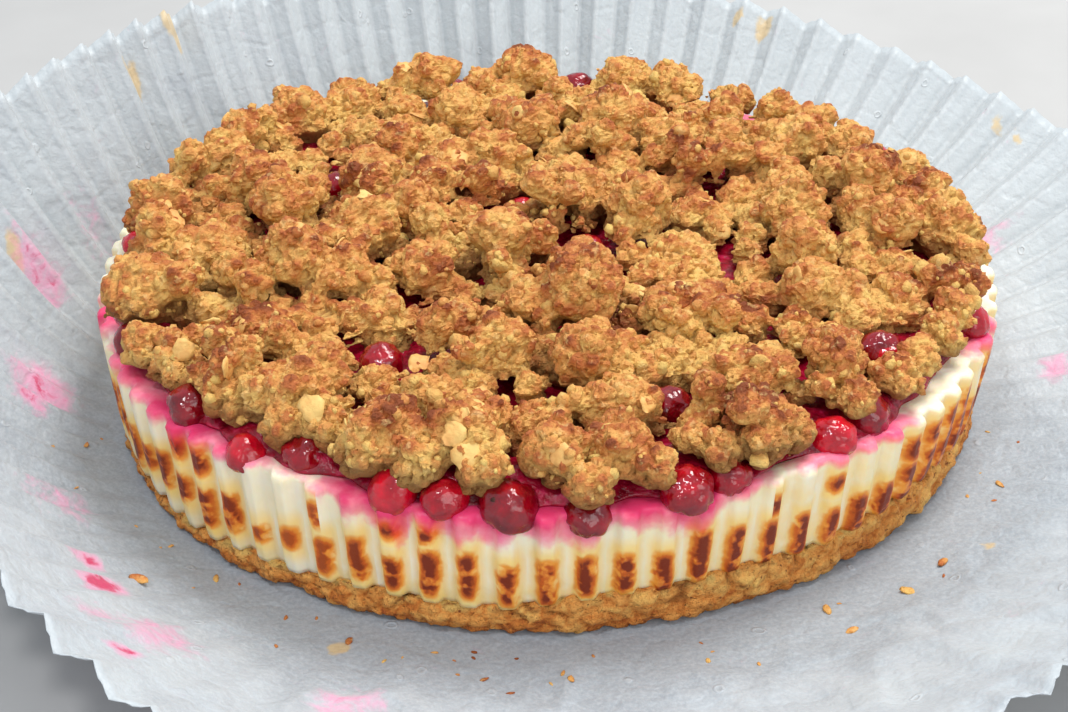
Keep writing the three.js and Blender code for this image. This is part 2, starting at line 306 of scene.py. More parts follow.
def cell_noise(points, size, seed=0):
    """For scattered centres, one per cell: the distance to the nearest, to the next, and its number."""
    scaled = points / size
    base = np.floor(scaled).astype(np.int64)
    nearest = np.full(len(points), 9.0)
    second = np.full(len(points), 9.0)
    number = np.zeros(len(points))
    for corner in np.ndindex(3, 3, 3):
        cell = base + np.array(corner) - 1
        centre = cell + np.stack([lattice(cell, seed + k) for k in (1, 2, 3)], axis=-1)
        distance = np.linalg.norm(scaled - centre, axis=-1)
        closer = distance < nearest
        second = np.where(closer, nearest, np.minimum(second, distance))
        number = np.where(closer, lattice(cell, seed + 4), number)
        nearest = np.where(closer, distance, nearest)
    return nearest, second, number


def smoothstep(low, high, value):
    share = np.clip((value - low) / (high - low), 0, 1)
    return share * share * (3 - 2 * share)


def seeded_random(seed):
    """The same draws from 0 to 1 as those that place the solids' berries."""
    state = seed

    def draw():
        nonlocal state
        state = (state + 0x6D2B79F5) & MASK
        mixed = (state ^ (state >> 15)) * (state | 1) & MASK
        mixed = ((mixed + ((mixed ^ (mixed >> 7)) * (mixed | 61) & MASK)) ^ mixed) & MASK
        return (mixed ^ (mixed >> 14)) / (MASK + 1)

    return draw


# Meshes


def full_turn(count):
    """Evenly spaced angles from 0 to 360 degrees."""
    return 360 * np.arange(count) / count


def turn_between(angle, other):
    """The angle from one direction to another, in degrees."""
    return np.abs((angle - other + 180) % 360 - 180)


def at_angle(angle, distance, height):
    turn = np.radians(angle)
    x, y, z = np.broadcast_arrays(distance * np.cos(turn), distance * np.sin(turn), height)
    return np.stack([x, y, z], axis=-1).astype(float)


def angle_of(points):
    """The direction of points from the axis, from -180 to 180 degrees."""
    return np.degrees(np.arctan2(points[:, 1], points[:, 0]))


def flat_distance(points, angle=0, distance=0):
    """How far points are from a place, seen from above: from the axis where none is given."""
    return np.linalg.norm(points[:, :2] - at_angle(angle, distance, 0)[:2], axis=1)


def normalized(vectors):
    return vectors / np.linalg.norm(vectors, axis=-1, keepdims=True)


def put(name, data):
    """A new object in the scene."""
    made = bpy.data.objects.new(name, data)
    bpy.context.scene.collection.objects.link(made)
    return made


def new_mesh(name, points, *face_sets):
    """A smooth-shaded mesh; each face set is an array with one row of corners per face."""
    corners = np.concatenate([faces.ravel() for faces in face_sets])
    sizes = np.concatenate([np.full(len(faces), faces.shape[1]) for faces in face_sets])
    mesh = bpy.data.meshes.new(name)
    mesh.vertices.add(len(points))
    mesh.vertices.foreach_set("co", (points * MM).astype(np.float32).ravel())
    mesh.loops.add(len(corners))
    mesh.loops.foreach_set("vertex_index", corners.astype(np.int32))
    mesh.polygons.add(len(sizes))
    mesh.polygons.foreach_set("loop_start", (np.cumsum(sizes) - sizes).astype(np.int32))
    mesh.update(calc_edges=True)
    mesh.shade_smooth()
    return mesh


def ring_faces(rows, around):
    """Quads between rings of points that lie one after the other."""
    start = np.arange(rows - 1)[:, None] * around
    here = np.arange(around)
    after = (here + 1) % around
    quads = [start + here, start + after, start + around + after, start + around + here]
    return np.stack(quads, axis=-1).reshape(-1, 4)


def cap_faces(first, around, pole, upwards):
    """Triangles from a ring, whose first point is given, to a pole."""
    here = first + np.arange(around)
    after = first + (np.arange(around) + 1) % around
    ends = (here, after) if upwards else (after, here)
    return np.stack([*ends, np.full(around, pole)], axis=-1)


def turned(angles, section):
    """A ring of points for each radius and height of a section."""
    return np.array([at_angle(angles, radius, height) for radius, height in section])


def ring_mesh(name, rings):
    """A closed mesh of rings, with a pole on the axis level with the first and one with the last."""
    rows, around = rings.shape[:2]
    poles = [[0, 0, rings[0, 0, 2]], [0, 0, rings[-1, 0, 2]]]
    points = np.concatenate([rings.reshape(-1, 3), poles])
    last = (rows - 1) * around
    lower = cap_faces(0, around, rows * around, False)
    upper = cap_faces(last, around, rows * around + 1, True)
    return new_mesh(name, points, ring_faces(rows, around), lower, upper)


def piece(name, mesh, material, slot, *replaced):
    """Puts a mesh in the scene as a piece of the cake that stands for the solids named."""
    made = put(name, mesh)
    mesh.materials.append(material)
    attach(made, "root")
    if replaced:
        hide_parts(*replaced)


def add_attribute(mesh, name, values):
    mesh.attributes.new(name, "FLOAT", "POINT").data.foreach_set("value", values.astype(np.float32))


def read_points(mesh):
    points = np.empty(len(mesh.vertices) * 3, np.float32)
    mesh.vertices.foreach_get("co", points)
    return points.reshape(-1, 3).astype(float) / MM


def write_points(mesh, points):
    mesh.vertices.foreach_set("co", (points * MM).astype(np.float32).ravel())
    mesh.update()


def read_normals(mesh):
    normals = np.empty(len(mesh.vertices) * 3, np.float32)
    mesh.vertex_normals.foreach_get("vector", normals)
    return normals.reshape(-1, 3).astype(float)


def read_triangles(mesh):
    mesh.calc_loop_triangles()
    triangles = np.empty(len(mesh.loop_triangles) * 3, np.int32)
    mesh.loop_triangles.foreach_get("vertices", triangles)
    return triangles.reshape(-1, 3)


def read_edges(mesh):
    edges = np.empty(len(mesh.edges) * 2, np.int32)
    mesh.edges.foreach_get("vertices", edges)
    return edges.reshape(-1, 2)


def relaxed(values, edges, rounds):
    """Each point's values moved towards its neighbours' mean, a few times over."""
    count = np.bincount(edges.ravel(), minlength=len(values))[:, None]
    for _ in range(rounds):
        sums = [
            np.bincount(edges[:, 0], values[edges[:, 1], k], len(values))
            + np.bincount(edges[:, 1], values[edges[:, 0], k], len(values))
            for k in range(values.shape[1])
        ]
        values = 0.4 * values + 0.6 * np.stack(sums, axis=-1) / count
    return values


def ball(detail):
    """Points and triangles of a unit ball."""
    mesh = bmesh.new()
    bmesh.ops.create_icosphere(mesh, subdivisions=detail, radius=1)
    points = np.array([v.co for v in mesh.verts])
    faces = np.array([[v.index for v in f.verts] for f in mesh.faces])
    mesh.free()
    return points, faces


def joined(shapes):
    """The points and triangles of several shapes in one."""
    starts = np.cumsum([0] + [len(points) for points, _ in shapes])
    faces = [faces + start for (_, faces), start in zip(shapes, starts)]
    return np.concatenate([points for points, _ in shapes]), np.concatenate(faces)


def frames_from(normals, random):
    """A set of axes for each normal, turned about it at random."""
    helper = np.where(np.abs(normals[:, 2:]) > 0.9, [[1.0, 0, 0]], [[0, 0, 1.0]])
    first = normalized(np.cross(normals, helper))
    second = np.cross(normals, first)
    turn = random.uniform(0, 2 * np.pi, (len(normals), 1))
    along = first * np.cos(turn) + second * np.sin(turn)
    return np.stack([along, np.cross(normals, along), normals], axis=1)


def scattered(templates, places, axes, sizes, random):
    """Copies of templates, picked at random, at places, with their axes and sizes."""
    picks = random.integers(0, len(templates), len(places))
    shapes = []
    for pick, (points, faces) in enumerate(templates):
        chosen = picks == pick
        copies = np.einsum("pk,nkj->npj", points, axes[chosen]) * sizes[chosen][:, None, None]
        copies += places[chosen][:, None, :]
        count = len(copies)
        offsets = (np.arange(count) * len(points))[:, None, None]
        shapes.append((copies.reshape(-1, 3), (faces + offsets).reshape(-1, 3)))
    return joined(shapes)


def surface_places(mesh, count, random, accept):
    """Random places on a mesh with their normals, spread by area, where accept(places, normals)."""
    points, triangles = read_points(mesh), read_triangles(mesh)
    a, b, c = (points[triangles[:, k]] for k in range(3))
    cross = np.cross(b - a, c - a)
    area = np.linalg.norm(cross, axis=1)
    middle = (a + b + c) / 3
    smooth = read_normals(mesh)[triangles].mean(axis=1)
    smooth /= np.linalg.norm(smooth, axis=1, keepdims=True) + 1e-9
    weight = area * accept(middle, smooth)
    picks = random.choice(len(triangles), count, p=weight / weight.sum())
    first, second = np.sqrt(random.uniform(0, 1, (count, 1))), random.uniform(0, 1, (count, 1))
    shares = 1 - first, first * (1 - second), first * second
    places = sum(share * corner[picks] for share, corner in zip(shares, (a, b, c)))
    return places, smooth[picks]


# Shading


def srgb(red, green, blue):
    """A colour given as on a screen, from 0 to 255, as light intensities."""
    parts = [c / 255 for c in (red, green, blue)]
    return (*[c / 12.92 if c <= 0.04045 else ((c + 0.055) / 1.055) ** 2.4 for c in parts], 1)


class Shading:
    """A material whose nodes are made in short calls. Sizes are in millimetres."""

    def __init__(self, name, **sockets):
        self.material = bpy.data.materials.new(name)
        self.material.use_nodes = True
        self.tree = self.material.node_tree
        self.shader = self.tree.nodes["Principled BSDF"]
        for socket, value in sockets.items():
            self.shader.inputs[socket.replace("_", " ")].default_value = value
        coordinates = self.tree.nodes.new("ShaderNodeTexCoord")
        self.place = coordinates.outputs["Object"]

    def feed(self, target, source):
        """Links a socket, or sets a plain value."""
        if isinstance(source, bpy.types.NodeSocket):
            self.tree.links.new(source, target)
        else:
            target.default_value = source

    def math(self, operation, *sources, clamp=False):
        node = self.tree.nodes.new("ShaderNodeMath")
        node.operation = operation
        node.use_clamp = clamp
        for target, source in zip(node.inputs, sources):
            self.feed(target, source)
        return node.outputs[0]

    def sway(self, noise, amount, level):
        """A level raised and lowered by a noise, by up to half the amount."""
        return self.math("MULTIPLY_ADD", self.math("SUBTRACT", noise, 0.5), amount, level)

    def attribute(self, name):
        node = self.tree.nodes.new("ShaderNodeAttribute")
        node.attribute_name = name
        return node.outputs["Fac"]

    def texture(self, kind, size, place=None):
        """A texture node with features of the given size."""
        node = self.tree.nodes.new("ShaderNodeTex" + kind)
        node.inputs["Scale"].default_value = 1 / (size * MM)
        self.feed(node.inputs["Vector"], place or self.place)
        return node

    def noise(self, size, detail=3.0, roughness=0.55, distortion=0.0):
        node = self.texture("Noise", size)
        node.inputs["Detail"].default_value = detail
        node.inputs["Roughness"].default_value = roughness
        node.inputs["Distortion"].default_value = distortion
        return node.outputs["Fac"]

    def voronoi(self, size, place, feature="F1"):
        """Cells of the given size: the distance from their centres or edges, and a colour for each."""
        node = self.texture("Voronoi", size, place)
        node.feature = feature
        return node.outputs

    def shift(self, reach, size):
        """Places moved about by noise, by up to half the reach in millimetres."""
        noise = self.texture("Noise", size)
        node = self.tree.nodes.new("ShaderNodeVectorMath")
        node.operation = "MULTIPLY_ADD"
        self.feed(node.inputs[0], noise.outputs["Color"])
        node.inputs[1].default_value = (reach * MM,) * 3
        self.feed(node.inputs[2], self.place)
        return node.outputs[0]

    def random(self, source, seed):
        """A random number for each whole number."""
        node = self.tree.nodes.new("ShaderNodeTexWhiteNoise")
        node.noise_dimensions = "1D"
        self.feed(node.inputs["W"], self.math("ADD", source, seed))
        return node.outputs["Value"]

    def span(self, source, low, high, to_low=0.0, to_high=1.0):
        """A soft step from to_low to to_high while the source goes from low to high."""
        node = self.tree.nodes.new("ShaderNodeMapRange")
        node.interpolation_type = "SMOOTHSTEP"
        for socket, value in zip(node.inputs, (source, low, high, to_low, to_high)):
            self.feed(socket, value)
        return node.outputs[0]

    def ramp(self, source, *stops):
        """Blended colours: each stop is a place from 0 to 1, then red, green and blue."""
        node = self.tree.nodes.new("ShaderNodeValToRGB")
        elements = node.color_ramp.elements
        while len(elements) < len(stops):
            elements.new(0.5)
        for element, (position, *colour) in zip(elements, stops):
            element.position = position
            element.color = srgb(*colour)
        self.feed(node.inputs[0], source)
        return node.outputs[0]

    def mix(self, share, first, second, blend="MIX"):
        node = self.tree.nodes.new("ShaderNodeMix")
        node.data_type = "RGBA"
        node.blend_type = blend
        self.feed(node.inputs["Factor"], share)
        self.feed(node.inputs[6], first)
        self.feed(node.inputs[7], second)
        return node.outputs[2]

    def tint(self, colour, share, amount, tint, blend="MIX"):
        """A colour with a tint over it, as much as the share times the amount."""
        return self.mix(self.math("MULTIPLY", share, amount), colour, tint, blend)

    def relief(self, *layers):
        """Relief in layers, the lowest first, each with its depth in millimetres."""
        under = None
        for height, depth in layers:
            node = self.tree.nodes.new("ShaderNodeBump")
            node.inputs["Distance"].default_value = depth * MM
            self.feed(node.inputs["Height"], height)
            if under:
                self.feed(node.inputs["Normal"], under)
            under = node.outputs[0]
        return under

    def finish(self, **sources):
        for socket, source in sources.items():
            self.feed(self.shader.inputs[socket.replace("_", " ")], source)
        return self.material


def crumble_material():
    """Toasted oat crumble: golden in its recesses, brown on what stands out, with painted shade in its
    creases and in the deep gaps between clumps.
    """
    made = Shading("oat_crumble", Roughness=0.62, Specular_IOR_Level=0.3)
    toast = made.attribute("toast")
    patch = made.noise(9, 3)
    speck = made.noise(0.9, 4, 0.7)
    granule = made.voronoi(2.1, made.shift(1.4, 1.3))["Color"]
    level = made.sway(patch, 0.5, toast)
    level = made.sway(speck, 0.32, level)
    level = made.sway(granule, 0.14, level)
    colour = made.ramp(
        level,
        (0.0, 228, 194, 112),
        (0.28, 227, 183, 103),
        (0.46, 221, 165, 91),
        (0.62, 208, 140, 74),
        (0.8, 184, 104, 54),
        (1.0, 130, 64, 30),
    )
    pale = made.span(made.noise(1.9, 2), 0.58, 0.67)
    colour = made.tint(colour, pale, 0.4, srgb(234, 198, 130))
    # Painted shade: the creases between granules darkened to orange-brown
    colour = made.tint(colour, made.attribute("crease"), 0.5, srgb(150, 78, 30))
    # Painted shade: the deep gaps between the clumps darkened to dark brown
    colour = made.tint(colour, made.attribute("gap_shade"), 0.7, srgb(104, 44, 12))
    relief = made.relief((made.noise(1.8, 4, 0.65), 0.6), (speck, 0.35))
    return made.finish(Base_Color=colour, Normal=relief)


def flake_material():
    """Pale rolled oats with toasted edges."""
    made = Shading("oat_flake", Roughness=0.55)
    toast = made.attribute("toast")
    grain = made.noise(1.1, 4, 0.65)
    level = made.sway(grain, 0.7, toast)
    colour = made.ramp(
        level,
        (0.0, 232, 193, 114),
        (0.35, 222, 164, 90),
        (0.65, 206, 138, 72),
        (1.0, 168, 100, 52),
    )
    return made.finish(Base_Color=colour, Normal=made.relief((grain, 0.25)))


def biscuit_material():
    """Baked biscuit: golden brown, darker at its foot, with painted shade in its crags and along the dips
    and seams between its lumps, beige in patches above.
    """
    made = Shading("biscuit", Roughness=0.6, Specular_IOR_Level=0.25)
    toast = made.attribute("toast")
    speck = made.noise(0.9, 4, 0.68)
    patch = made.noise(6, 3)
    level = made.sway(patch, 0.8, toast)
    level = made.sway(speck, 0.6, level)
    colour = made.ramp(
        level,
        (0.0, 242, 190, 104),
        (0.3, 234, 162, 82),
        (0.55, 214, 130, 56),
        (0.78, 178, 92, 36),
        (1.0, 112, 50, 18),
    )
    beige = made.math("MULTIPLY", made.span(made.noise(5, 2), 0.5, 0.62), made.attribute("top"))
    colour = made.mix(beige, colour, srgb(220, 178, 100))
    # Painted shade: the crags near the top, and the cracks among them, darkened to brown
    crag = made.math("MULTIPLY", made.span(made.noise(3.4, 3, 0.6), 0.56, 0.66), made.attribute("top"))
    crag = made.math("MAXIMUM", crag, made.attribute("crack_shade"))
    colour = made.tint(colour, crag, 0.75, srgb(132, 76, 28))
    colour = made.mix(made.span(made.noise(1.6, 3, 0.7), 0.6, 0.72), colour, srgb(128, 66, 30))
    relief = made.relief((made.noise(2.8, 4, 0.7), 2.0), (speck, 0.7))
    return made.finish(Base_Color=colour, Normal=relief)


def cheese_material():
    """Ivory cheese with a browned bar down each flute and berry juice running in from the rim."""
    made = Shading(
        "baked_cheese",
        Roughness=0.36,
        Specular_IOR_Level=0.32,
        Subsurface_Weight=0.35,
        Subsurface_Radius=(0.004, 0.0028, 0.0016),
        Subsurface_Scale=0.5,
    )
    split = made.tree.nodes.new("ShaderNodeSeparateXYZ")
    made.feed(split.inputs[0], made.place)
    turn = made.math("ARCTAN2", split.outputs["Y"], split.outputs["X"])
    flute = made.math("MULTIPLY", turn, FLUTES / (2 * math.pi))
    number = made.math("ROUND", flute)
    wobble = made.math("MULTIPLY", made.math("SUBTRACT", made.noise(5, 2), 0.5), 0.25)
    forward = made.math("MULTIPLY_ADD", split.outputs["X"], BAR_LEAN / (RIM_RADIUS * MM), wobble)
    aside = made.math("ABSOLUTE", made.math("ADD", made.math("SUBTRACT", flute, number), forward))
    height = made.math("DIVIDE", split.outputs["Z"], MM)

    def bar(low, middle_spread, length, length_spread, chance, seed):
        """How brown a bar makes the cheese, and how yellow round it: one to a ridge, by chance.

        Its middle lies from low upwards by up to the spread, and its half length is given likewise.
        """
        middle = made.math("MULTIPLY_ADD", made.random(number, seed), middle_spread, low)
        half = made.math("MULTIPLY_ADD", made.random(number, seed + 7), length_spread, length)
        off = made.math("ABSOLUTE", made.math("SUBTRACT", height, middle))
        beyond = made.math("SUBTRACT", off, half)
        there = made.math("LESS_THAN", made.random(number, seed + 13), chance)
        shares = []
        for start, end, near, far in ((-3.4, 1.4, 0.02, 0.44), (-0.5, 4.5, 0.2, 0.62)):
            along, across = made.span(beyond, start, end, 1, 0), made.span(aside, near, far, 1, 0)
            shares.append(made.math("MULTIPLY", made.math("MULTIPLY", along, across), there))
        return shares

    longer = made.math("ADD", made.attribute("long"), 5.2)
    always = 2
    low_brown, low_yellow = bar(13.6, 2.6, longer, 2.4, always, 1.5)
    high_brown, high_yellow = bar(22.5, 3, 2.4, 2.2, made.attribute("upper"), 31.5)
    shown = made.attribute("side")
    lobe = made.span(made.noise(3.6, 2), 0.36, 0.52, 0.6, 1.12)
    speck = made.sway(made.noise(1.2, 4, 0.6), 0.6, lobe)
    brown = made.math("MULTIPLY", made.math("MAXIMUM", low_brown, high_brown), speck, clamp=True)
    brown = made.math("MULTIPLY", brown, shown)
    warm = made.math("MULTIPLY", made.attribute("upper"), made.span(made.noise(7, 3), 0.3, 0.7, 0.1, 0.8))
    glow = made.math("MAXIMUM", made.math("MAXIMUM", low_yellow, high_yellow), warm)
    glow = made.math("MULTIPLY", glow, shown)
    bare = made.ramp(made.noise(13, 3), (0.3, 248, 241, 222), (0.7, 244, 231, 192))
    foot = made.math("MULTIPLY", made.attribute("foot"), made.span(made.noise(5, 2), 0.4, 0.65, 0, 0.5))
    colour = made.mix(foot, bare, srgb(236, 210, 130))
    colour = made.tint(colour, glow, 0.85, srgb(254, 212, 116))
    colour = made.mix(made.span(brown, 0.12, 0.46), colour, srgb(238, 156, 58))
    colour = made.mix(made.span(brown, 0.42, 0.74), colour, srgb(202, 96, 26))
    colour = made.mix(made.span(brown, 0.7, 1.02), colour, srgb(124, 40, 6))
    smear = made.sway(made.noise(3, 3), 0.6, made.attribute("stain"))
    colour = made.tint(colour, made.span(smear, 0.12, 0.6), 0.85, srgb(255, 124, 182), "MULTIPLY")
    colour = made.tint(colour, made.span(smear, 0.5, 1.0), 0.85, srgb(232, 28, 104))
    relief = made.relief((made.noise(1.2, 3), 0.12), (made.math("SUBTRACT", 0, brown), 0.25))
    return made.finish(Base_Color=colour, Normal=relief)


def berry_material():
    """Baked redcurrants: dark glossy red skin, lighter where it is thin."""
    made = Shading(
        "redcurrant",
        Roughness=0.08,
        Specular_IOR_Level=0.5,
        Coat_Weight=0.4,
        Coat_Roughness=0.03,
        Subsurface_Weight=0.3,
        Subsurface_Radius=(0.004, 0.0006, 0.0006),
    )
    tone = made.sway(made.noise(4, 3), 0.9, made.attribute("tone"))
    colour = made.ramp(
        tone,
        (0.1, 84, 0, 12),
        (0.5, 152, 0, 22),
        (0.9, 216, 10, 40),
    )
    relief = made.relief((made.noise(2.2, 2), 0.5), (made.noise(0.9, 2), 0.1))
    return made.finish(Base_Color=colour, Normal=relief)


def juice_material():
    """Set berry juice, dark and glossy, with pulp."""
    made = Shading(
        "berry_juice",
        Roughness=0.16,
        Specular_IOR_Level=0.35,
        Coat_Weight=0.15,
        Coat_Roughness=0.06,
        Subsurface_Weight=0.3,
        Subsurface_Radius=(0.004, 0.0006, 0.001),
    )
    pulp = made.noise(3, 4, 0.6)
    colour = made.ramp(
        pulp,
        (0.3, 100, 4, 20),
        (0.55, 156, 12, 42),
        (0.75, 206, 46, 92),
    )
    return made.finish(Base_Color=colour, Normal=made.relief((pulp, 0.9)))


def calyx_material():
    """The dried brown tip of a berry."""
    made = Shading("dried_calyx", Roughness=0.7)
    speck = made.noise(0.5, 3)
    colour = made.ramp(speck, (0.3, 40, 16, 12), (0.7, 92, 44, 26))
    return made.finish(Base_Color=colour, Normal=made.relief((speck, 0.3)))


def paper_material():
    """Greaseproof paper: cloudy fibres, greasy and grey by the cake, darker over its front with painted
    shade, white outside, marked by juice.
    """
    made = Shading("greaseproof_paper", Roughness=0.42, Specular_IOR_Level=0.35, Sheen_Weight=0.15)
    fibre = made.noise(0.9, 5, 0.7)
    cloud = made.noise(16, 4, 0.6)
    # Greyer where grease soaks the paper by the cake, and darker over the front as painted shade
    grease_and_front_shade = made.sway(cloud, 1.3, made.attribute("grease_and_front_shade"))
    colour = made.ramp(
        grease_and_front_shade,
        (0.1, 187, 194, 198),
        (0.5, 174, 181, 187),
        (0.95, 150, 158, 166),
    )
    flecks = made.span(fibre, 0.35, 0.7)
    colour = made.tint(colour, flecks, 0.3, srgb(206, 213, 218))
    tan = made.sway(made.noise(7, 4, 0.6), 1.2, made.attribute("scorch"))
    colour = made.tint(colour, made.span(tan, 0.6, 0.9), 0.6, srgb(220, 184, 108))
    bent = made.shift(2.0, 4)
    wet = made.sway(made.noise(4.5, 4, 0.65, 0.8), 1.6, made.attribute("juice"))
    colour = made.tint(colour, made.span(wet, 0.2, 0.9), 0.6, srgb(236, 140, 184))
    colour = made.tint(colour, made.span(wet, 0.8, 1.2), 0.9, srgb(196, 30, 88))
    blister = made.voronoi(10, bent)["Distance"]
    ring = made.math("MULTIPLY", made.span(blister, 0.05, 0.09), made.span(blister, 0.1, 0.14, 1, 0))
    colour = made.tint(colour, ring, 0.12, srgb(232, 235, 237))
    crease = made.span(made.voronoi(11, bent, "DISTANCE_TO_EDGE")["Distance"], 0, 0.12)
    small_crease = made.span(made.voronoi(5, bent, "DISTANCE_TO_EDGE")["Distance"], 0, 0.16)
    relief = made.relief(
        (made.noise(5, 4, 0.6), 0.5),
        (crease, 0.09),
        (small_crease, 0.04),
        (ring, 0.15),
        (fibre, 0.07),
    )
    return made.finish(Base_Color=colour, Normal=relief)


def floor_material():
    made = Shading("pale_floor", Roughness=0.7)
    colour = made.ramp(made.noise(60, 3), (0.3, 180, 179, 178), (0.7, 187, 186, 185))
    return made.finish(Base_Color=colour)


# The paper case


def paper_rim_height(angle):
    turn = np.radians(angle)
    front = 14 * np.exp(-(((angle - 270) / 24) ** 2))
    fold = 8 * np.exp(-(((angle - 305) / 20) ** 2))
    return 35 + 20 * np.cos(turn - math.radians(145)) - front + fold + 1.4 * np.sin(5 * turn + 1)


def paper_surface(angle, share):
    """Points on the upper face of the wall: angle in degrees from 0 to 360, share from foot to rim."""
    rim = paper_rim_height(angle)
    reach = np.sqrt(PAPER_SLANT**2 - rim**2)
    distance = CAKE_RADIUS + WALL_GAP + reach * share
    height = rim * share**1.7
    flute = angle * FLUTES / 360
    number = np.round(flute).astype(np.int64)
    strength = 0.75 + 0.5 * lattice(np.stack([number % FLUTES, 0 * number, 0 * number], axis=-1), 5)
    flatness = np.exp(-(((angle - 272) / 64) ** 4))
    wave = np.cos(2 * np.pi * (flute - number)) + 0.25 * np.cos(6 * np.pi * (flute - number))
    depth = PAPER_PLEAT * np.minimum(1, share * 1.6)
    pleat = -0.85 * depth * wave * strength
    scallop = 0.6 * pleat * (1 - flatness * smoothstep(1, 0.85, share))
    flat_place = at_angle(angle, distance, 0 * share)
    crinkle = 1.3 * rough_noise(flat_place, 24, 3, 9)
    for size, amount in ((13, 1.0), (6, 0.5)):
        crinkle += amount * ((1 - np.abs(smooth_noise(flat_place, size, 13 + size))) ** 5 - 0.2)
    crinkle *= (0.3 + 0.7 * flatness) * smoothstep(0, 0.3, share)
    height = 0.8 * (depth + pleat * (1 - 0.85 * flatness)) + height + crinkle
    return at_angle(angle, distance - scallop, PAPER_THICKNESS + np.maximum(0.02, height))


def marked(points, marks, reach, core):
    """How strongly round marks cover points, fading from core to reach, both in radii of the mark."""
    cover = np.zeros(len(points))
    for angle, distance, radius, strength in marks:
        away = flat_distance(points, angle, distance)
        cover = np.maximum(cover, strength * smoothstep(reach * radius, core * radius, away))
    return cover


def make_paper(material):
    angles, rows = full_turn(FLUTES * 10), 30
    floor_radii = [30, 60, 80, 92, 98, CAKE_RADIUS + WALL_GAP]
    rings = [at_angle(angles, radius, PAPER_THICKNESS) for radius in floor_radii]
    for row in range(1, rows + 1):
        rings.append(paper_surface(angles, np.full(len(angles), row / rows)))
    over = np.array(rings)
    slope = np.gradient(over, axis=0)
    along = np.roll(over, -1, axis=1) - np.roll(over, 1, axis=1)
    under = over - SHEET_THICKNESS * normalized(np.cross(slope, along))
    under[..., 2] = np.maximum(under[..., 2], 0.02)
    shell = np.concatenate([under, over[::-1]])
    mesh = ring_mesh("paper_case", shell)
    points = read_points(mesh)
    near, front = smoothstep(145, 104, flat_distance(points)), smoothstep(20, -60, points[:, 1])
    # Grease by the cake, and painted shade over the front of the sheet
    add_attribute(mesh, "grease_and_front_shade", near * (0.5 + 0.5 * front) + 0.35 * front)
    add_attribute(mesh, "juice", marked(points, JUICE_MARKS, 2, 0.2))
    add_attribute(mesh, "scorch", marked(points, [(*mark, 1) for mark in GREASE_MARKS], 1.6, 0.2))
    piece("paper_sheet", mesh, material, "greaseproof_paper", "paper_case")


def make_paper_crumbs(material):
    """The few crumbs that have fallen on the case, and dust of the same crumble round the cake's foot."""
    random = np.random.default_rng(8)
    dust = [tuple(random.uniform(low, high) for low, high in DUST_RANGES) for _ in range(DUST_COUNT)]
    spots = np.array(PAPER_CRUMBS + dust)
    rim = paper_rim_height(spots[:, 0])
    share = (spots[:, 1] - CAKE_RADIUS - WALL_GAP) / np.sqrt(PAPER_SLANT**2 - rim**2)
    places = paper_surface(spots[:, 0], share)
    places[:, 2] += 0.2 * spots[:, 2]
    upright = np.tile([0.0, 0, 1], (len(places), 1))
    crumbs = [(points * [1.6, 0.8, 0.32], faces) for points, faces in lump_templates(8, 2, random)]
    points, faces = scattered(crumbs, places, frames_from(upright, random), spots[:, 2], random)
    mesh = new_mesh("paper_crumbs", points, faces)
    add_attribute(mesh, "toast", 0.62 + 0.4 * smooth_noise(points, 6, 171))
    piece("paper_crumbs", mesh, material, "oat_crumble")


# The cake's layers


def out_of_round(angle):
    turn = np.radians(angle)
    return 0.7 * np.cos(2 * turn) + 0.5 * np.sin(3 * turn + 1) + 0.3 * np.sin(7 * turn)


def base_height(angle):
    """How high the biscuit base reaches at the cake's side."""
    turn = np.radians(angle)
    lean = 2.2 * np.cos(turn + math.radians(20)) - 1.3 * np.cos(2 * (turn + math.radians(150)))
    return BASE_TOP + lean + 0.5 * np.sin(9 * turn + 1) + 0.35 * np.sin(17 * turn + 2)


def rim_height(angle):
    turn = np.radians(angle)
    return CHEESE_TOP + 0.5 * np.sin(5 * turn + 0.5) + 0.35 * np.sin(11 * turn)


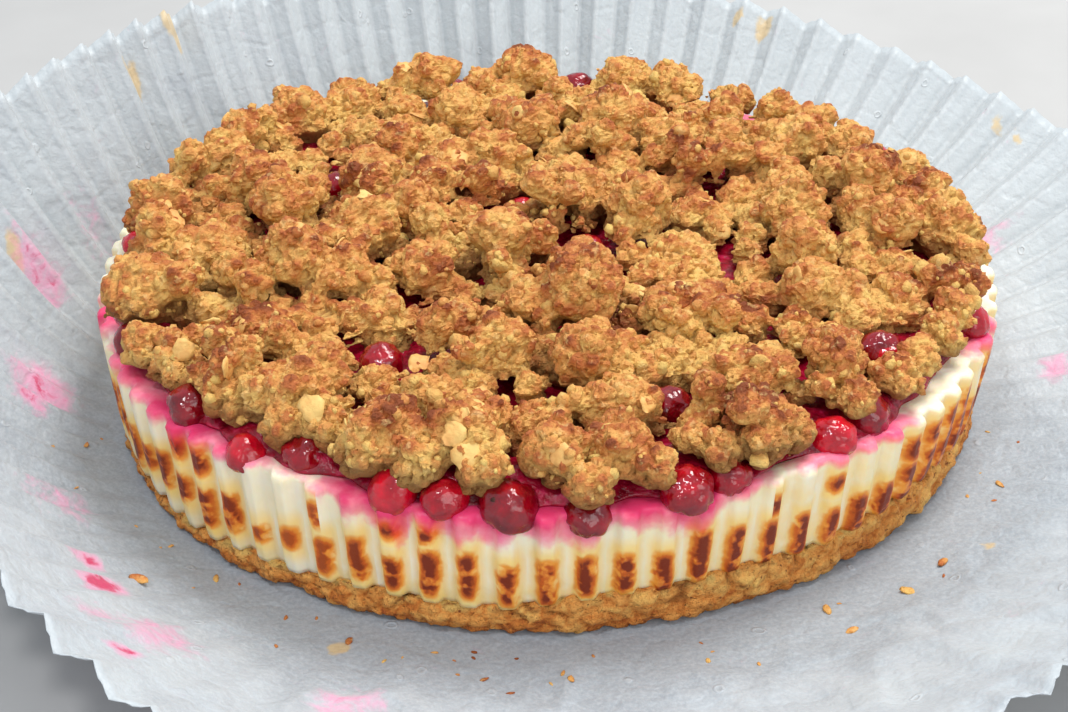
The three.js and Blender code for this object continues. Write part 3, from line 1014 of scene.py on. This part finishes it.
def make_biscuit(material):
    angles = full_turn(FLUTES * 16)
    bottom = PAPER_THICKNESS + GAP
    edge = CAKE_RADIUS + out_of_round(angles)
    top = base_height(angles) + 0.7
    section = [(60, bottom), (90, bottom), (edge - 2, bottom)]
    for share in np.linspace(0, 1, 15):
        bulge = 0.5 * math.sin(math.pi * share) - 1.2 * (1 - share) ** 6 - 0.4 * share**4
        section.append((edge + bulge, bottom + (top - bottom) * share))
    section += [(edge - 2.5, top + 0.2), (CAKE_RADIUS - 16, BASE_TOP)]
    mesh = ring_mesh("biscuit_base", turned(angles, section))
    points, normals = read_points(mesh), read_normals(mesh)
    side = smoothstep(CAKE_RADIUS - 4, CAKE_RADIUS - 1.5, flat_distance(points))
    flat = points * [1, 1, 1.5]
    bent = flat + 1.2 * np.stack([smooth_noise(points, 4, 26 + k) for k in range(3)], axis=-1)
    nearest, second, tone = cell_noise(bent, 4.0, 11)
    crag = (1 - np.abs(smooth_noise(flat, 6.5, 17))) ** 6
    crag *= smoothstep(-0.3, 0.3, smooth_noise(points, 9, 18))
    pores = smoothstep(0, 0.22, second - nearest)
    lumps = 1.1 * rough_noise(flat, 7, 4, 19) + 0.8 * (0.45 - nearest) + 0.35 * pores - 0.3
    lumps -= 1.1 * crag * smoothstep(3.0, 6.0, points[:, 2])
    fine = rough_noise(points, 2.4, 3, 21)
    offset = side * (lumps + 1.0 * fine)
    moved = points + normals * offset[:, None]
    moved[:, 2] = np.clip(moved[:, 2], bottom, None)
    write_points(mesh, moved)
    share = np.clip((points[:, 2] - bottom) / 7, 0, 1)
    # Browner low down and at random from lump to lump; darker in its dips and along the seams between its
    # lumps, which is painted shade
    toast = 0.34 + 0.26 * (1 - share) - 0.12 * lumps + 0.34 * (tone - 0.5) - 0.12 * pores
    # Painted shade for the deepest crags near the top
    add_attribute(mesh, "crack_shade", smoothstep(0.45, 0.9, crag) * smoothstep(3.5, 6.5, points[:, 2]))
    add_attribute(mesh, "toast", toast)
    angle = angle_of(points)
    add_attribute(mesh, "top", smoothstep(2.2, 0.4, base_height(angle) + 0.7 - points[:, 2]))
    piece("biscuit_crust", mesh, material, "biscuit", "biscuit_base")


def flute_profile(phase):
    """From 1 on a ridge to 0 in the groove: the ridges are narrow and the grooves scooped."""
    aside = np.abs(phase - np.round(phase))
    return smoothstep(0.36, 0.14, aside) - 0.12 * np.cos(2 * np.pi * aside) * (aside > 0.25)


def berry_nearness(angle, spread):
    """From 0 to 1: how near a side's angle is to a redcurrant on the rim."""
    near = np.zeros(len(angle))
    for berry_angle, distance, *_ in FRONT_BERRIES:
        away = turn_between(angle, berry_angle)
        near = np.maximum(near, np.exp(-((away / spread) ** 2)) * (distance > 92))
    return near


def cheese_section(angles):
    """Radii and heights of the cheese, from its underside up the fluted wall and over the rim."""
    ring = at_angle(angles, 1, 0) * 100
    phase = angles * FLUTES / 360 + 0.1 * smooth_noise(ring, 22, 31)
    depth = FLUTE_DEPTH * (1 + 0.25 * smooth_noise(ring, 15, 35))
    fluted = depth * (flute_profile(phase) - 0.5)
    low = base_height(angles) + GAP + 0.15
    rim = rim_height(angles)
    section = [(CAKE_RADIUS - 16, BASE_TOP + GAP + 0.15), (CAKE_RADIUS - 4, low)]
    wall_rows = 22
    for row in range(wall_rows + 1):
        share = row / wall_rows
        radius = CAKE_RADIUS + (RIM_RADIUS - 0.3 - CAKE_RADIUS) * share + out_of_round(angles)
        tuck = 0.6 * (1 - share) ** 8
        section.append((radius + fluted - tuck, low + (rim - 1.2 - low) * share))
    edge = RIM_RADIUS + out_of_round(angles)
    for step, (inset, drop) in enumerate([(0.6, 0.45), (1.3, 0.1), (2.4, 0), (4.0, 0.2)]):
        section.append((edge - inset + fluted * (0.8 - 0.25 * step), rim - drop))
    section.append((CAKE_RADIUS - 6, CHEESE_TOP - CHEESE_DIP))
    return section


def stained(angle, below_rim):
    """How much juice has run down to places on the cheese's side."""
    streak = 1 + 0.45 * smooth_noise(np.stack([angle, 0 * angle, 0 * angle], axis=-1), 1.6, 51)
    stain = np.zeros(len(angle))
    for stain_angle, spread, length, strength in STAINS:
        reach = np.exp(-((turn_between(angle, stain_angle) / spread) ** 2))
        run = np.clip(1.1 - below_rim / (length * streak * (0.3 + 0.7 * reach)), 0, 1.1)
        stain = np.maximum(stain, strength * reach**0.5 * run)
    return stain


def make_cheese(material):
    angles = full_turn(FLUTES * 16)
    mesh = ring_mesh("cheese_layer", turned(angles, cheese_section(angles)))
    points, normals = read_points(mesh), read_normals(mesh)
    side = smoothstep(CAKE_RADIUS - 5, CAKE_RADIUS - 1, flat_distance(points))
    offset = side * (0.28 * rough_noise(points, 5, 3, 41) + 0.35 * smooth_noise(points, 12, 45))
    write_points(mesh, points + normals * offset[:, None])
    angle = angle_of(points)
    below_rim = rim_height(angle) - points[:, 2]
    add_attribute(mesh, "stain", stained(angle, below_rim))
    right, left = smoothstep(-72, -60, angle), smoothstep(-110, -125, angle)
    add_attribute(mesh, "upper", 0.12 + 0.7 * right + 0.12 * left)
    faint = np.exp(-(((angle + 119) / 8) ** 4))
    longer = 2.8 * np.exp(-(((angle + 71) / 7) ** 2)) - 1.2 * smoothstep(-112, -124, angle) - 1.4 * faint
    add_attribute(mesh, "long", longer)
    add_attribute(mesh, "side", smoothstep(0.2, 1.2, below_rim) * side * (1 - 0.15 * faint))
    add_attribute(mesh, "foot", smoothstep(9, 1, points[:, 2] - base_height(angle)))
    piece("cheese_body", mesh, material, "baked_cheese", "cheese_layer")


# The fruit


def place_berries():
    """Centres and radii of the solids' redcurrants, and those that lie between them."""
    draw = seeded_random(BERRY_SEED)
    berries = [(at_angle(*place), radius) for *place, radius in FRONT_BERRIES]
    angle = REAR_BERRY_SPAN[0]
    while angle < REAR_BERRY_SPAN[1]:
        radius = BERRY_RADIUS * (0.9 + 0.2 * draw())
        turn = angle + 4 * (draw() - 0.5)
        berries.append((at_angle(turn, 93 + 1.5 * draw(), 30 + GAP + radius), radius))
        angle += REAR_BERRY_STEP
    for turn, distance, spot in BARE_SPOTS:
        radius = min(BERRY_RADIUS, spot - 1)
        berries.append((at_angle(turn, distance, 30 + GAP + radius), radius))
    return berries


def berry_points(unit, number, radius, axis, slump):
    """A wrinkled redcurrant, made from a ball, with a dent at the end of its axis."""
    drift = unit + 10.0 * number
    bulge = 0.13 * smooth_noise(drift, 0.9, 61) + 0.09 * slump * rough_noise(drift, 0.45, 2, 65)
    fold = (1 - np.abs(smooth_noise(drift, 0.5, 67))) ** 4
    bulge -= 0.06 * np.exp(-((1 - unit @ axis) / 0.04)) + (0.07 + 0.08 * slump) * fold
    points = unit * (radius * (1.06 + bulge))[:, None]
    points[:, 2] *= 1 - 0.2 * slump
    return points


def make_calyxes(tips, material):
    """The dried tips of one berry at the front and of every sixth one further back."""
    unit, faces = ball(2)
    tufts = []
    for number, (place, axis) in enumerate(tips[6:7] + tips[16::6]):
        spread = 1 + 0.5 * rough_noise(unit + 3.0 * number, 0.5, 2, 71)
        along = (unit @ axis)[:, None] * axis
        tuft = (unit - along * 0.3) * (0.6 * spread)[:, None]
        tufts.append((tuft + place, faces))
    points, faces = joined(tufts)
    piece("berry_calyxes", new_mesh("calyxes", points, faces), material, "redcurrant")


def make_berries(material, dry_material):
    """The redcurrants, and the dried tips of some of them."""
    random = np.random.default_rng(3)
    unit, faces = ball(4)
    shapes, tones, tips = [], [], []
    for number, (centre, radius) in enumerate(place_berries()):
        slump = random.uniform(0, 1)
        axis = random.normal(size=3) + [0, -0.6, 0.3]
        axis /= np.linalg.norm(axis)
        points = berry_points(unit, number, radius, axis, slump)
        shapes.append((points + centre, faces))
        tones.append(np.full(len(points), random.uniform(0.25, 0.75)))
        tips.append((centre + axis * radius * 0.9, axis))
    points, faces = joined(shapes)
    mesh = new_mesh("redcurrants", points, faces)
    add_attribute(mesh, "tone", np.concatenate(tones))
    piece("redcurrant_berries", mesh, material, "redcurrant", "redcurrants")
    make_calyxes(tips, dry_material)


def make_juice(material):
    """The glossy set juice between the redcurrants and under the crumble."""
    angles = full_turn(720) - 180
    near = berry_nearness(angles, 4)
    edge = 96.8 + 3.2 * near + 1.1 * rough_noise(at_angle(angles, 100, 0), 7, 3, 81)
    rim = rim_height(angles)
    top = 32.9 + 1.8 * near
    section = [
        (60, JUICE_FLOOR),
        (90, JUICE_FLOOR),
        (edge - 0.6, rim - 0.7),
        (edge, rim - 0.1),
        (edge - 0.3, rim + 0.35),
        (edge - 1.4, rim + 0.8),
        (edge - 3, top),
        (90, top + 0.3),
    ]
    section += [(radius, JUICE_TOP) for radius in (84, 60, 45, 30, 15)]
    mesh = ring_mesh("berry_juice", turned(angles, section))
    points, normals = read_points(mesh), read_normals(mesh)
    upper = smoothstep(31, 32, points[:, 2])
    offset = upper * 1.3 * rough_noise(points, 4.5, 3, 85)
    write_points(mesh, points + normals * offset[:, None])
    piece("berry_juice", mesh, material, "redcurrant")


# The crumble


def voxel_skin(points, faces, voxel):
    """One skin round overlapping closed shapes, as a mesh of even small quads."""
    mesh = new_mesh("skin", points, faces)
    holder = put("skin", mesh)
    remesh = holder.modifiers.new("skin", "REMESH")
    remesh.mode = "VOXEL"
    remesh.voxel_size = voxel * MM
    graph = bpy.context.evaluated_depsgraph_get()
    skin = bpy.data.meshes.new_from_object(holder.evaluated_get(graph))
    bpy.data.objects.remove(holder)
    bpy.data.meshes.remove(mesh)
    return skin


def cut_away(mesh, plane_y, keep_front):
    """Keeps the part of a closed mesh in front of a plane, or behind it, and closes the cut."""
    cut = bmesh.new()
    cut.from_mesh(mesh)
    normal = Vector((0, 1, 0)) if keep_front else Vector((0, -1, 0))
    geometry = [*cut.verts, *cut.edges, *cut.faces]
    plane = Vector((0, plane_y * MM, 0))
    bmesh.ops.bisect_plane(
        cut, geom=geometry, dist=1e-7, plane_co=plane, plane_no=normal, clear_outer=True
    )
    border = [edge for edge in cut.edges if edge.is_boundary]
    bmesh.ops.triangle_fill(cut, edges=border, use_beauty=True, normal=normal)
    cut.to_mesh(mesh)
    cut.free()


def lump_templates(number, detail, random):
    """Craggy lumps of about unit size, as points and triangles."""
    unit, faces = ball(detail)
    templates = []
    for _ in range(number):
        drift = unit + random.uniform(-50, 50, 3)
        sides = normalized(random.normal(size=(13, 3)))
        reach = random.uniform(0.72, 1.05, 13)
        cut_off = (reach / np.maximum(unit @ sides.T, 1e-3)).min(axis=1)
        radius = np.minimum(cut_off, 1.2) + 0.16 * smooth_noise(drift, 0.55, 93)
        templates.append((unit * radius[:, None] * random.uniform(0.8, 1.2, 3), faces))
    return templates


def clear_of_spots(places, sizes, share):
    """Whether lumps leave the bare spots open."""
    clear = np.ones(len(places), bool)
    for angle, distance, radius in BARE_SPOTS:
        clear &= flat_distance(places, angle, distance) > radius + share * sizes
    return clear


def place_nuggets(solid, random):
    """Nuggets of all sizes, the largest first, packed over the solid crumble's surface."""

    def outer(places, normals):
        return (normals[:, 2] > -0.35) & (places[:, 2] > CRUMBLE_FLOOR + 0.5)

    places = np.array([at_angle(*place) for *place, _ in RIM_NUGGETS])
    sizes = np.array([radius for *_, radius in RIM_NUGGETS])
    for low, high, tries in NUGGET_SIZES:
        spots, normals = surface_places(solid, tries, random, outer)
        radii = random.uniform(low, high, tries)
        centres = spots - normals * (NUGGET_SINK * radii)[:, None]
        limit = RIM_RADIUS - 4 - 0.7 * radii
        centres[:, :2] *= np.minimum(1, limit / flat_distance(centres))[:, None]
        clear = clear_of_spots(centres, radii, 0.6)
        for centre, radius in zip(centres[clear], radii[clear]):
            apart = np.linalg.norm(places - centre, axis=1) > NUGGET_SPACING * (sizes + radius)
            if apart.all():
                places = np.append(places, centre[None], axis=0)
                sizes = np.append(sizes, radius)
    return places, sizes


def crumble_core(solid, random):
    """Nuggets with knobs all over them, on a core a little smaller than the solid crumble."""
    core = read_points(solid) - CORE_INSET * read_normals(solid)
    core[:, 2] = np.maximum(core[:, 2], CRUMBLE_FLOOR - 1)
    places, sizes = place_nuggets(solid, random)
    upright = np.tile([0.0, 0, 1], (len(places), 1))
    bodies = lump_templates(16, 3, random)
    shapes = [(core, read_triangles(solid))]
    shapes.append(scattered(bodies, places, frames_from(upright, random), sizes * 0.78, random))
    knobs = lump_templates(16, 2, random)
    for low, high, number in KNOBS:
        for _ in range(number):
            directions = normalized(random.normal(size=places.shape) + [0, 0, 0.3])
            radii = sizes * random.uniform(low, high, len(sizes))
            centres = places + directions * (sizes * 0.92 - 0.5 * radii)[:, None]
            shapes.append(scattered(knobs, centres, frames_from(directions, random), radii, random))
    points, faces = joined(shapes)
    points[:, 2] = np.maximum(points[:, 2], CRUMBLE_FLOOR - 1.4)
    return points, faces


def crumble_skin(points, faces, voxel, front_y, rear_y):
    """The crumble's skin between two planes, with its granules."""
    mesh = voxel_skin(points, faces, voxel)
    if front_y is not None:
        cut_away(mesh, front_y, False)
    if rear_y is not None:
        cut_away(mesh, rear_y, True)
    edges = read_edges(mesh)
    even = relaxed(read_points(mesh), edges, 1)
    write_points(mesh, even)
    add_granules(mesh, even, edges, voxel)
    return mesh


def add_granules(mesh, even, edges, voxel):
    """Granules over an even skin of the crumble, with what its colours need to know about them."""
    normals = read_normals(mesh)
    upper = smoothstep(-0.8, 0.1, normals[:, 2])
    upper *= smoothstep(CRUMBLE_FLOOR - 1.6, CRUMBLE_FLOOR + 0.4, even[:, 2])
    coarse, second, tone = cell_noise(even, 3.4, 101)
    bent = even + 0.5 * np.stack([smooth_noise(even, 1.6, 114 + k) for k in range(3)], axis=-1)
    fine, fine_second, fine_tone = cell_noise(bent, 2.3, 111)
    knobs = 0.45 - coarse + 0.4 * smoothstep(0, 0.2, second - coarse)
    grains = 0.45 - fine + 0.45 * smoothstep(0, 0.16, fine_second - fine)
    rough = rough_noise(even, 1.3, 2, 121)
    offset = upper * (1.1 * knobs + 0.8 * grains - 0.3 + 0.5 * rough)
    moved = even + normals * offset[:, None]
    write_points(mesh, moved)
    wide = relaxed(moved, edges, int(20 / voxel))
    proud = np.einsum("ij,ij->i", moved - wide, normals)
    up = read_normals(mesh)[:, 2]
    height = (moved[:, 2] - 43) / 8
    patch = rough_noise(even, 13, 2, 131)
    dark = marked(even, [(*clump, 1) for clump in TOASTED], 1.3, 0.5)
    front = smoothstep(-30, -80, even[:, 1])
    toast = 0.28 + 0.12 * front + 0.12 * height + 0.18 * np.clip(proud, -1.6, 1.6)
    toast += 0.25 * patch + 0.15 * up + 0.3 * (tone - 0.5) + 0.24 * (fine_tone - 0.5)
    toast += 0.1 * knobs + 0.06 * grains + 0.3 * dark
    add_attribute(mesh, "toast", toast)
    # Painted shade for the creases between granules: where the skin dips below its near surroundings
    close = relaxed(moved, edges, 4)
    fold = np.einsum("ij,ij->i", moved - close, normals)
    add_attribute(mesh, "crease", smoothstep(-0.04, -0.3, fold))
    # Painted shade for the deep gaps between the clumps: how far each place lies below the tops round it
    depth = surface_depth(moved, 9)
    add_attribute(mesh, "gap_shade", smoothstep(1.8, 7.0, depth) * (moved[:, 2] > CRUMBLE_FLOOR - 2))


def surface_depth(points, width):
    """How far points lie below the mean height of the top of their surroundings."""
    cell, half = 1.5, 120
    spot = np.floor((points[:, :2] + half) / cell).astype(int)
    cells = int(2 * half / cell)
    top = np.zeros((cells, cells))
    np.maximum.at(top, (spot[:, 0], spot[:, 1]), points[:, 2])
    filled = (top > 0).astype(float)
    reach = int(width / cell / 2)
    for _ in range(3):
        for axis in (0, 1):
            top = sum(np.roll(top, k, axis) for k in range(-reach, reach + 1))
            filled = sum(np.roll(filled, k, axis) for k in range(-reach, reach + 1))
    mean = top / np.maximum(filled, 1e-9)
    return mean[spot[:, 0], spot[:, 1]] - points[:, 2]


def flake_templates(random):
    """Rolled oats: thin bent discs with a crease, as points and triangles."""
    templates = []
    around = 12
    turn = 2 * np.pi * np.arange(around) / around
    for _ in range(6):
        wobble = 1 + 0.12 * random.normal(size=around)
        rings = []
        for reach, height in ((0.62, 0.1), (1.0, 0.02), (1.0, -0.06), (0.62, -0.1)):
            x = reach * wobble * np.cos(turn)
            y = 0.88 * reach * wobble * np.sin(turn)
            crease = 0.1 * np.exp(-((y / 0.18) ** 2)) * (height > 0)
            bend = -0.16 * x**2 + random.uniform(-0.1, 0.1) * y - crease
            rings.append(np.stack([x, y, height + bend], axis=-1))
        points = np.concatenate([*rings, [[0, 0, -0.1]], [[0, 0, 0]]])
        quads = ring_faces(4, around)
        triangles = np.concatenate([quads[:, [0, 1, 2]], quads[:, [0, 2, 3]]])
        first = cap_faces(0, around, 4 * around + 1, False)[:, ::-1]
        last = cap_faces(3 * around, around, 4 * around, True)[:, ::-1]
        templates.append((points, np.concatenate([triangles[:, ::-1], first, last])))
    return templates


def front_flakes(mesh, templates):
    """The whole flakes on the front clumps: each where the skin near its place faces forwards."""
    points, normals = read_points(mesh), read_normals(mesh)
    averted = 1 - normals @ np.array(FORWARDS)
    spots = []
    for *place, _ in FRONT_FLAKES:
        away = np.linalg.norm(points - at_angle(*place), axis=1)
        spots.append(np.argmin(away + 8 * averted))
    random = np.random.default_rng(15)
    sizes = np.array([radius for *_, radius in FRONT_FLAKES])
    axes = frames_from(normals[spots], random)
    return scattered(templates, points[spots] + normals[spots] * 0.25, axes, sizes, random)


def make_crumble(material, flake, frame):
    """The crumble's three skins, with oat flakes and loose grains on them."""
    random = np.random.default_rng(12)
    points, faces = crumble_core(frame["nodes"]["crumble"].data, random)
    skins = []
    for name, voxel, front_y, rear_y, share in CRUMBLE_SKINS:
        mesh = crumble_skin(points, faces, voxel, front_y, rear_y)
        piece(name, mesh, material, "oat_crumble", "crumble")
        skins.append((mesh, share))

    def showing(places, normals):
        return (normals[:, 2] > -0.3) & (places[:, 2] > CRUMBLE_FLOOR + 1)

    def tops(places, normals):
        return showing(places, normals) * (0.3 + np.clip(normals[:, 2], 0, 1))

    flakes, grains = [], []
    templates = flake_templates(random)
    lumps = {detail: lump_templates(8, detail, random) for detail in (1, 2)}
    for mesh, share in skins:
        count = int(FLAKE_COUNT * share)
        places, normals = surface_places(mesh, count, random, tops)
        tilted = normalized(normals + random.normal(0, 0.12, normals.shape))
        sizes = random.uniform(*FLAKE_RADIUS, count)
        axes = frames_from(tilted, random)
        flakes.append(scattered(templates, places - normals * 0.15, axes, sizes, random))
        for detail, number, low, high in GRAINS:
            count = int(number * share)
            places, normals = surface_places(mesh, count, random, showing)
            sizes = random.uniform(low, high, count)
            sunk = places - normals * (0.35 * sizes)[:, None]
            grains.append(scattered(lumps[detail], sunk, frames_from(normals, random), sizes, random))
    flakes.append(front_flakes(skins[0][0], templates))
    points, faces = joined(flakes)
    mesh = new_mesh("oat_flakes", points, faces)
    add_attribute(mesh, "toast", 0.22 + 0.5 * rough_noise(points, 7, 2, 141))
    piece("oat_flakes", mesh, flake, "oat_crumble")
    points, faces = joined(grains)
    mesh = new_mesh("crumble_grains", points, faces)
    height = (points[:, 2] - 41) / 8
    add_attribute(mesh, "toast", 0.34 + 0.2 * height + 0.5 * rough_noise(points, 5, 2, 151))
    piece("crumble_grains", mesh, material, "oat_crumble")


# The surroundings


def make_stage():
    corners = np.array([[-1, -1, 0], [1, -1, 0], [-1, 1, 0], [1, 1, 0]])
    mesh = new_mesh("floor", corners * FLOOR_REACH + [0, 0, -0.05], np.array([[0, 1, 3, 2]]))
    mesh.materials.append(floor_material())
    put("floor", mesh)


def light_scene():
    world = bpy.data.worlds.new("studio")
    bpy.context.scene.world = world
    world.use_nodes = True
    background = world.node_tree.nodes["Background"]
    background.inputs["Color"].default_value = SKY_COLOUR
    background.inputs["Strength"].default_value = SKY_STRENGTH
    for name, place, width, power, colour in LIGHTS:
        lamp = bpy.data.lights.new(name, "AREA")
        lamp.shape = "DISK"
        lamp.size = width
        lamp.energy = power
        lamp.color = colour
        made = put(name, lamp)
        made.location = place
        made.rotation_euler = (Vector(LIT_PLACE) - Vector(place)).to_track_quat("-Z", "Y").to_euler()


def make_camera():
    lens = bpy.data.cameras.new("camera")
    lens.sensor_width = SENSOR_WIDTH
    lens.lens = FOCAL_LENGTH_PX / PHOTO_WIDTH_PX * SENSOR_WIDTH
    lens.clip_start = 0.01
    camera = put("camera", lens)
    back = -Vector(CAMERA_FORWARD).normalized()
    right = Vector(CAMERA_UP).cross(back).normalized()
    up = back.cross(right)
    turn = Matrix((right, up, back)).transposed().to_4x4()
    camera.matrix_world = Matrix.Translation(CAMERA_PLACE) @ turn
    bpy.context.scene.camera = camera


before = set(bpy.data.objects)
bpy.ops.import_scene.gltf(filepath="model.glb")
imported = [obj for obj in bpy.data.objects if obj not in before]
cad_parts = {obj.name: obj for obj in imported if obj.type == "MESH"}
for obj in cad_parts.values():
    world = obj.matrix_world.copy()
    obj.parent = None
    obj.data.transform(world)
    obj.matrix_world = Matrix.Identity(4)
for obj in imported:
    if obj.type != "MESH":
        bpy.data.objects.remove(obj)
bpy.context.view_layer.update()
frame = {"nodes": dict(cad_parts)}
bpy.context.scene.view_settings.view_transform = "Standard"
make_camera()
light_scene()
make_stage()
make_paper(paper_material())
oat_crumble = crumble_material()
make_paper_crumbs(oat_crumble)
make_biscuit(biscuit_material())
make_cheese(cheese_material())
make_juice(juice_material())
make_berries(berry_material(), calyx_material())
make_crumble(oat_crumble, flake_material(), frame)
